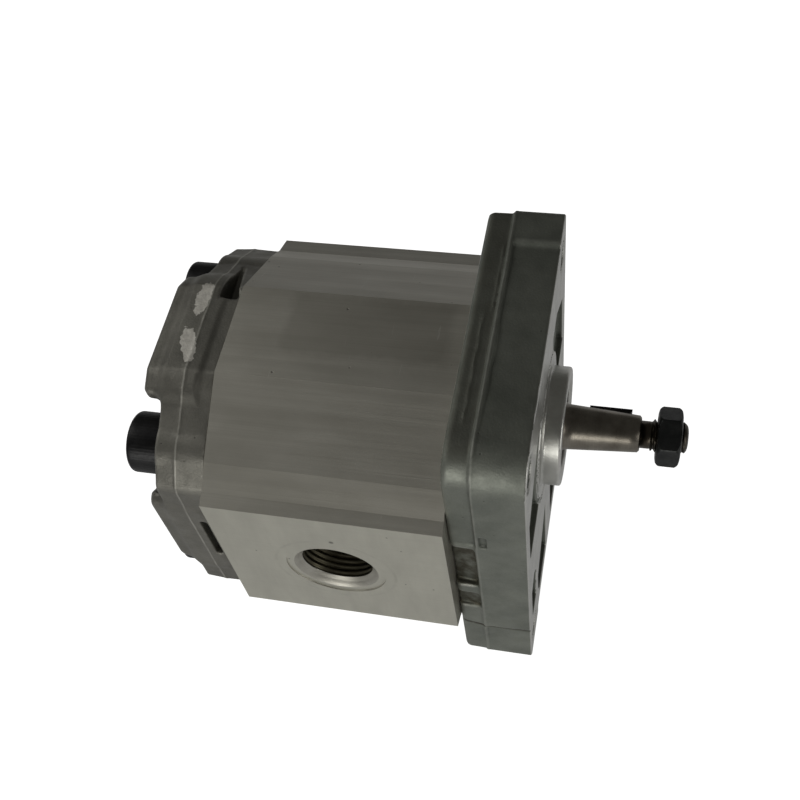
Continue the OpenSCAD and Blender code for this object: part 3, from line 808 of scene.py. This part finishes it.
# a quarter of the outline on each side, as (y, height above the middle)
INLET_QUARTER = [(11, TOP_H - 0.6), (26.8, TOP_H - 9.35), (30.9, TOP_H - 14.15), (31.4, TOP_H - 15.5)]
OUTLET_QUARTER = [(11, TOP_H - 0.6), (26.8, TOP_H - 9.35), (32.2, TOP_H - 13.3), (32.8, TOP_H - 14.5)]


def round_trip(inlet, outlet):
    """The cover's outline from its quarters on both sides, about the body's middle."""
    right = outlet + [(y, -h) for y, h in outlet[::-1]]
    left = inlet + [(y, -h) for y, h in inlet[::-1]]
    return [(y, MID_Z + h) for y, h in right + [(-y, h) for y, h in left[::-1]]]


def cover_side(x, y, z):
    """The cover's outline with draft on both sides of the parting line, and a boss at each screw."""
    rim = polygon(y, z, round_trip(INLET_QUARTER, OUTLET_QUARTER))
    draft = np.clip(RIDGE_X - x, 0, 12) * 0.06 + np.clip(x - RIDGE_X, 0, 12) * 0.02
    side = rim + draft - flash(8, x, y, z, RIDGE_X, 0.3)
    for at in SCREWS:
        side = np.minimum(side, disc(y, z, at, BOSS_R))
    return side


def cover_middle(x, y, z, side):
    """The raised cross on the cover's rear, rounded back round each screw."""
    ay, ah = np.abs(y), np.abs(z - MID_Z)
    rise = np.clip(x - COVER_LO[0], 0, 5)
    upright = both(ay - 15.2 - rise * 0.08, ah - (TOP_H - 1.0), 1.0)
    lying = both(ay - 30.7 - rise * 0.06, ah - 13.6 - rise * 0.3, 3.0)
    middle = either(upright, lying, 2.5)
    for at in SCREWS:
        middle = cut(middle, disc(y, z, at, MIDDLE_CLEARING_R), 0.8)
    middle = both(middle, side, 0.8)
    middle = both(middle, COVER_LO[0] - x, 1.6)
    return np.maximum(middle, x + 70)


def rim_pockets(d, x, y, z):
    """Cored pockets in the rim's upper and lower walls and slots in its sides, with half-turn symmetry."""
    h = z - MID_Z
    turned_y, turned_h = np.where(h > 0, y, -y), np.abs(h)
    left = -70.2 + np.clip(turned_y - 8, 0, 20) * 0.015
    right = -66.2 - np.clip(turned_y - 9, 0, 20) * 0.26
    pocket = both(np.maximum(left - x, x - right), np.maximum(8.0 - turned_y, TOP_H - 6.4 - turned_h), 0.6)
    d = cut(d, pocket, 0.4)
    slot_h = np.where(y < 0, h, -h)
    slot = np.maximum(block(x, slot_h, -70.1, -68.7, -6.5, 8.8, 0.5), 29.6 - np.abs(y))
    return cut(d, slot, 0.25)


def cover_field(x, y, z):
    side = cover_side(x, y, z)
    d = either(both(side, SLAB_X - x, 0.5), cover_middle(x, y, z, side), 2.2)
    for at in SCREWS:
        d = cut(d, np.maximum(disc(y, z, at, CLEARING_R), x - SLAB_X), 0.4)
    d = both(d, x - COVER_HI[0], 0.2)
    for at in SCREWS:
        d = cut(d, disc(y, z, at, SCREW_HOLE_R))
        d = cut(d, np.maximum(disc(y, z, at, SEAT_R), x - SEAT_X))
    for at in DOWELS:
        d = cut(d, np.maximum(disc(y, z, at, DOWEL_R), COVER_HI[0] - 4.9 - x))
    return rim_pockets(d, x, y, z)


COVER_SPAN = COVER_LO - [1.2, 1.2, 1.0], COVER_HI + [1.2, 1.6, 1.2]
cover = carved("cover_casting", *COVER_SPAN, COVER_GRID, cover_field)
assign(cover, [cover_paint])
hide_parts("rear_cover")
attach(cover, "housing")

# ---------------------------------------------------------------- screws

SOCKET_AF, HEAD_EDGE = 6.0, 0.9
SHANK_R, SCREW_ROOT_R, SCREW_THREAD, SCREW_PITCH = 3.9, 3.32, 22.0, 1.25


def cover_screw(y, z):
    """A socket head cap screw with a lightly knurled head, a hexagon socket and a rolled thread."""
    x0, x1, under = SCREWS_LO[0], SCREWS_HI[0], WASHER_LO[0]
    a = round_angles(180)
    socket = hexagon(SOCKET_AF, a)
    rings = [
        ring(x0 + 3.6, 0.2, a),
        ring(x0 + 4.6, socket * 0.93, a),
        ring(x0 + 0.35, socket, a),
        ring(x0 + 0.1, socket * 1.03, a),
        ring(x0, 3.9, a),
    ]
    for turn in np.radians(np.arange(90, -1, -15)):
        r = HEAD_R - HEAD_EDGE + 0.87 * math.cos(turn)
        rings.append(ring(x0 + HEAD_EDGE - HEAD_EDGE * math.sin(turn), r, a))
    knurl = HEAD_R - 0.03 - 0.03 * (1 - np.cos(a * 60))
    rings += [
        ring(x0 + 1.6, knurl, a),
        ring(under - 0.7, knurl, a),
        ring(under - 0.1, HEAD_R - 0.2, a),
        ring(under, HEAD_R - 0.5, a),
        ring(under, 4.0, a),
    ]
    plain = x1 - SCREW_THREAD
    rings += [ring(under + 0.4, SHANK_R, a), ring(plain, SHANK_R, a)]
    for x in np.arange(plain + 0.25, x1 - 0.8, 0.2):
        rings.append(ring(x, SCREW_ROOT_R + 0.64 * thread(x / SCREW_PITCH - a / (2 * math.pi)), a))
    rings += [ring(x1 - 0.7, 3.3, a), ring(x1, 2.9, a)]
    return rings_object("screw", rings, closed=False, at=(0, y, z))


screws = joined("cap_screws", [cover_screw(*at) for at in SCREWS])
assign(screws, [black_paint])
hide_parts("cover_screws")
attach(screws, "housing")

# ---------------------------------------------------------------- port threads

PORT_MINOR, PORT_PITCH = 7.48, 1.337
PORT_THREAD_FROM, PORT_THREAD_TO = 1.2, 11.9  # depths below the port face


def port_thread(side):
    """The thread in a port, as a ring that sits in the CAD's plain bore."""
    a = round_angles(96)
    face = BODY_HI[1] if side > 0 else -BODY_LO[1]
    inner, outer = face - PORT_THREAD_TO, face - PORT_THREAD_FROM
    rings = []
    for depth in np.arange(inner, outer, PORT_PITCH / 9):
        ridge = 0.5 + 0.5 * np.cos(2 * math.pi * depth / PORT_PITCH - a)
        r = PORT_MAJOR - (PORT_MAJOR - PORT_MINOR) * (0.55 + 0.45 * ridge)
        mouth = PORT_MAJOR + depth - outer
        end = PORT_MAJOR - (depth - inner) * 1.6
        rings.append(ring(depth, np.minimum(np.maximum(np.maximum(r, mouth), end), PORT_MAJOR), a))
    rings.append(ring(outer, PORT_MAJOR, a))
    rings += [ring(outer, PORT_MAJOR + 0.05, a), ring(inner, PORT_MAJOR + 0.05, a)]
    turn = [[0, 0, 1], [side, 0, 0], [0, 1, 0]]
    ob = rings_object("port_thread_" + ("out" if side > 0 else "in"), rings, closed=True, turn=turn)
    ob.data.transform(Matrix.Translation(Vector((BODY_MID[0], 0, MID_Z)) * MM))
    # deep in the port the thread takes the near-black painted shade; near its mouth it takes the body's aluminium
    assign(ob, [port_shade_paint, body_paint], lambda c, n: np.abs(c[:, 1]) > outer - 0.8)
    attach(ob, "housing")
    return ob


for side in (-1, 1):
    port_thread(side)

# ---------------------------------------------------------------- shaft and nut

NECK_X, NECK_R, THREAD_R = 21.2, 2.9, 3.46
NUT_AF, NUT_CHAMFER, NUT_BORE_R, NUT_MOUTH_R = 11.0, 1.5, 3.55, 4.1


def shaft_trunk():
    """The drive shaft and gear as packed, cut off at the neck."""
    bm = bmesh.new()
    bm.from_mesh(frame["nodes"]["drive_gear_shaft"].data)
    bmesh.ops.remove_doubles(bm, verts=bm.verts, dist=0.001 * MM)
    bmesh.ops.bisect_plane(
        bm,
        geom=list(bm.verts) + list(bm.edges) + list(bm.faces),
        plane_co=(NECK_X * MM, 0, 0),
        plane_no=(1, 0, 0),
        clear_outer=True,
    )
    bmesh.ops.holes_fill(bm, edges=[e for e in bm.edges if e.is_boundary])
    bmesh.ops.recalc_face_normals(bm, faces=bm.faces)
    mesh = bpy.data.meshes.new("shaft")
    bm.to_mesh(mesh)
    bm.free()
    mesh.polygons.foreach_set("use_smooth", [True] * len(mesh.polygons))
    mesh.set_sharp_from_angle(angle=math.radians(28))
    return link(bpy.data.objects.new("drive_shaft", mesh))


def threaded_tail():
    """The shaft's tail beyond the neck, with a cut thread of 1 mm pitch and a domed end."""
    a = round_angles(72)
    end = SHAFT_HI[0]
    rings = [ring(NECK_X - 0.6, NECK_R - 0.05, a), ring(NECK_X + 0.2, NECK_R - 0.02, a)]
    for x in np.arange(NECK_X + 0.35, end - 0.9, 0.1):
        crest = min(THREAD_R, NECK_R + (x - NECK_X) * 0.9, THREAD_R - (x - end + 1.1) * 0.8)
        root = min(NECK_R, crest - 0.02)
        rings.append(ring(x, root + (crest - root) * thread(x - a / (2 * math.pi)), a))
    for turn in np.radians(np.arange(15, 91, 12.5)):
        rings.append(ring(end - 0.9 + 0.9 * math.sin(turn), 1.4 + 1.75 * math.cos(turn), a))
    rings += [ring(end - 0.1, 0.9, a), ring(end - 0.5, 0.35, a)]
    return rings_object("shaft_thread", rings, closed=False)


shaft, shaft_tail = shaft_trunk(), threaded_tail()
assign(shaft, [shaft_paint])
assign(shaft_tail, [tail_paint])
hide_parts("drive_gear_shaft")
for ob in (shaft, shaft_tail):
    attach(ob, "drive_gear")


def hex_nut():
    """A hexagon nut with rounded chamfers and a plain bore."""
    a = round_angles(144)
    turn = math.radians(28.7)
    x0, x1 = NUT_LO[0], NUT_HI[0]
    flat = hexagon(NUT_AF, a, turn + math.pi / 6)
    ends = np.linspace(x0, x0 + NUT_CHAMFER, 11), np.linspace(x1 - NUT_CHAMFER, x1, 11)
    rings = []
    for x in np.concatenate(ends):
        near = 1 - min(x - x0, x1 - x) / NUT_CHAMFER
        rounded = NUT_AF / 2 - 0.6 + NUT_CHAMFER * math.sqrt(max(0.0, 1 - near * near))
        rings.append(ring(x, np.minimum(flat, rounded), a))
    rings.append(ring(x1, NUT_MOUTH_R, a))
    for x in np.arange(x1 - 0.3, x0 + 0.3, -0.12):
        rings.append(ring(x, NUT_BORE_R + max(0.0, 0.5 - min(x - x0, x1 - x)), a))
    rings.append(ring(x0, NUT_MOUTH_R, a))
    return rings_object("hex_nut", rings, closed=True, sharp=25)


nut = hex_nut()
assign(nut, [nut_paint])
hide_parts("shaft_nut")
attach(nut, "drive_gear")

# ---------------------------------------------------------------- CAD nodes that stay


def keep(node, paint, bevel=0.0):
    """Gives a CAD node its material and, where it helps, fine edges."""
    ob = frame["nodes"][node]
    if not ob.material_slots:
        ob.data.materials.append(paint.material)
    for slot in ob.material_slots:
        slot.link = "OBJECT"
        slot.material = paint.material
    if bevel:
        weld = ob.modifiers.new("weld", "WELD")
        weld.merge_threshold = 0.002 * MM
        edge = ob.modifiers.new("edges", "BEVEL")
        edge.width, edge.segments = bevel * MM, 2
        edge.limit_method, edge.angle_limit = "ANGLE", math.radians(30)
        edge.harden_normals = False


keep("pump_body", body_paint, 0.3)
keep("driven_gear_shaft", gear_paint)
keep("shaft_key", key_paint)
keep("screw_washers", black_paint)
keep("retaining_ring", ring_paint)
keep("seal_spring", ring_paint)
keep("shaft_seal", seal_rubber)
for end in ("front", "rear"):
    keep(f"{end}_bearing_block", block_paint)
    keep(f"{end}_drive_bush", bush_paint)
    keep(f"{end}_driven_bush", bush_paint)
    keep(f"{end}_pressure_seal", black_rubber)
    keep(f"{end}_body_seal", black_rubber)
    keep(f"{end}_backup_strip", strip_plastic)
    keep(f"{end}_dowel_pins", pin_paint)

# ---------------------------------------------------------------- stage, lights and camera, in metres

STAGE_SIZE = 12.0
GROUND_Z = cad_box[0].z - 0.0005
GLOW_Z = GROUND_Z - 0.002


def sheet_of_light(name, z, colour, strength):
    """A flat plane on the stage that gives an even light."""
    s = STAGE_SIZE / 2
    mesh = bpy.data.meshes.new(name)
    mesh.from_pydata([(-s, -s, z), (s, -s, z), (s, s, z), (-s, s, z)], [], [(0, 1, 2, 3)])
    ob = link(bpy.data.objects.new(name, mesh))
    m = bpy.data.materials.new(name)
    m.use_nodes = True
    shader = m.node_tree.nodes["Principled BSDF"]
    shader.inputs["Base Color"].default_value = (*colour, 1)
    shader.inputs["Roughness"].default_value = 0.9
    shader.inputs["Emission Color"].default_value = (1, 1, 1, 1)
    shader.inputs["Emission Strength"].default_value = strength
    mesh.materials.append(m)
    return ob


# the camera sees the bright floor, but the pump's light from below is the weaker glow beneath it
floor = sheet_of_light("floor", GROUND_Z, (0.8, 0.8, 0.8), 0.95)
floor.visible_diffuse = floor.visible_glossy = False
glow = sheet_of_light("floor_glow", GLOW_Z, (0.4, 0.4, 0.4), 0.30)
glow.visible_camera = False


def soft_light(name, place, aim, size, power, colour):
    data = bpy.data.lights.new(name, "AREA")
    data.shape, data.size, data.energy, data.color = "DISK", size, power, colour
    ob = bpy.data.objects.new(name, data)
    ob.location = place
    ob.rotation_euler = (Vector(aim) - Vector(place)).to_track_quat("-Z", "Y").to_euler()
    return link(ob)


centre = (cad_box[0] + cad_box[1]) / 2
soft_light("side_light", centre + Vector((-0.15, -0.9, 0.05)), centre, 0.7, 3.2, (1.0, 0.99, 0.95))
soft_light("end_light", centre + Vector((0.8, -0.35, 0.2)), centre, 0.5, 0.9, (1.0, 0.99, 0.96))
soft_light("top_light", centre + Vector((-0.68, 0.1, 0.7)), centre, 0.8, 1.65, (1.0, 0.99, 0.96))

# a dim world lights the pump; behind it the camera sees plain white
world = bpy.data.worlds.new("studio")
bpy.context.scene.world = world
world.use_nodes = True
tree = world.node_tree
ambient, backdrop = tree.nodes["Background"], tree.nodes.new("ShaderNodeBackground")
ambient.inputs["Color"].default_value = (0.07, 0.069, 0.065, 1)
backdrop.inputs["Color"].default_value = (1, 1, 1, 1)
chosen, ray = tree.nodes.new("ShaderNodeMixShader"), tree.nodes.new("ShaderNodeLightPath")
tree.links.new(ray.outputs["Is Camera Ray"], chosen.inputs[0])
tree.links.new(ambient.outputs[0], chosen.inputs[1])
tree.links.new(backdrop.outputs[0], chosen.inputs[2])
tree.links.new(chosen.outputs[0], tree.nodes["World Output"].inputs["Surface"])

# the photo's viewing angle
AZIMUTH, ELEVATION, ROLL = math.radians(20.67), math.radians(56.08), math.radians(-11.51)
EYE, SENSOR_WIDTH, LENS = (0.01569, -0.12597, 0.20388), 36, 50.33
level = math.cos(ELEVATION)
back = Vector((math.sin(AZIMUTH) * level, -math.cos(AZIMUTH) * level, math.sin(ELEVATION)))
right = Vector((math.cos(AZIMUTH), math.sin(AZIMUTH), 0))
up = back.cross(right)
right, up = right * math.cos(ROLL) + up * math.sin(ROLL), up * math.cos(ROLL) - right * math.sin(ROLL)
camera = link(bpy.data.objects.new("camera", bpy.data.cameras.new("camera")))
camera.matrix_world = Matrix([(right[i], up[i], back[i], EYE[i]) for i in range(3)] + [(0, 0, 0, 1)])
camera.data.sensor_width, camera.data.lens = SENSOR_WIDTH, LENS
camera.data.clip_start, camera.data.clip_end = 0.01, 50
bpy.context.scene.camera = camera
bpy.context.scene.view_settings.view_transform = "Standard"
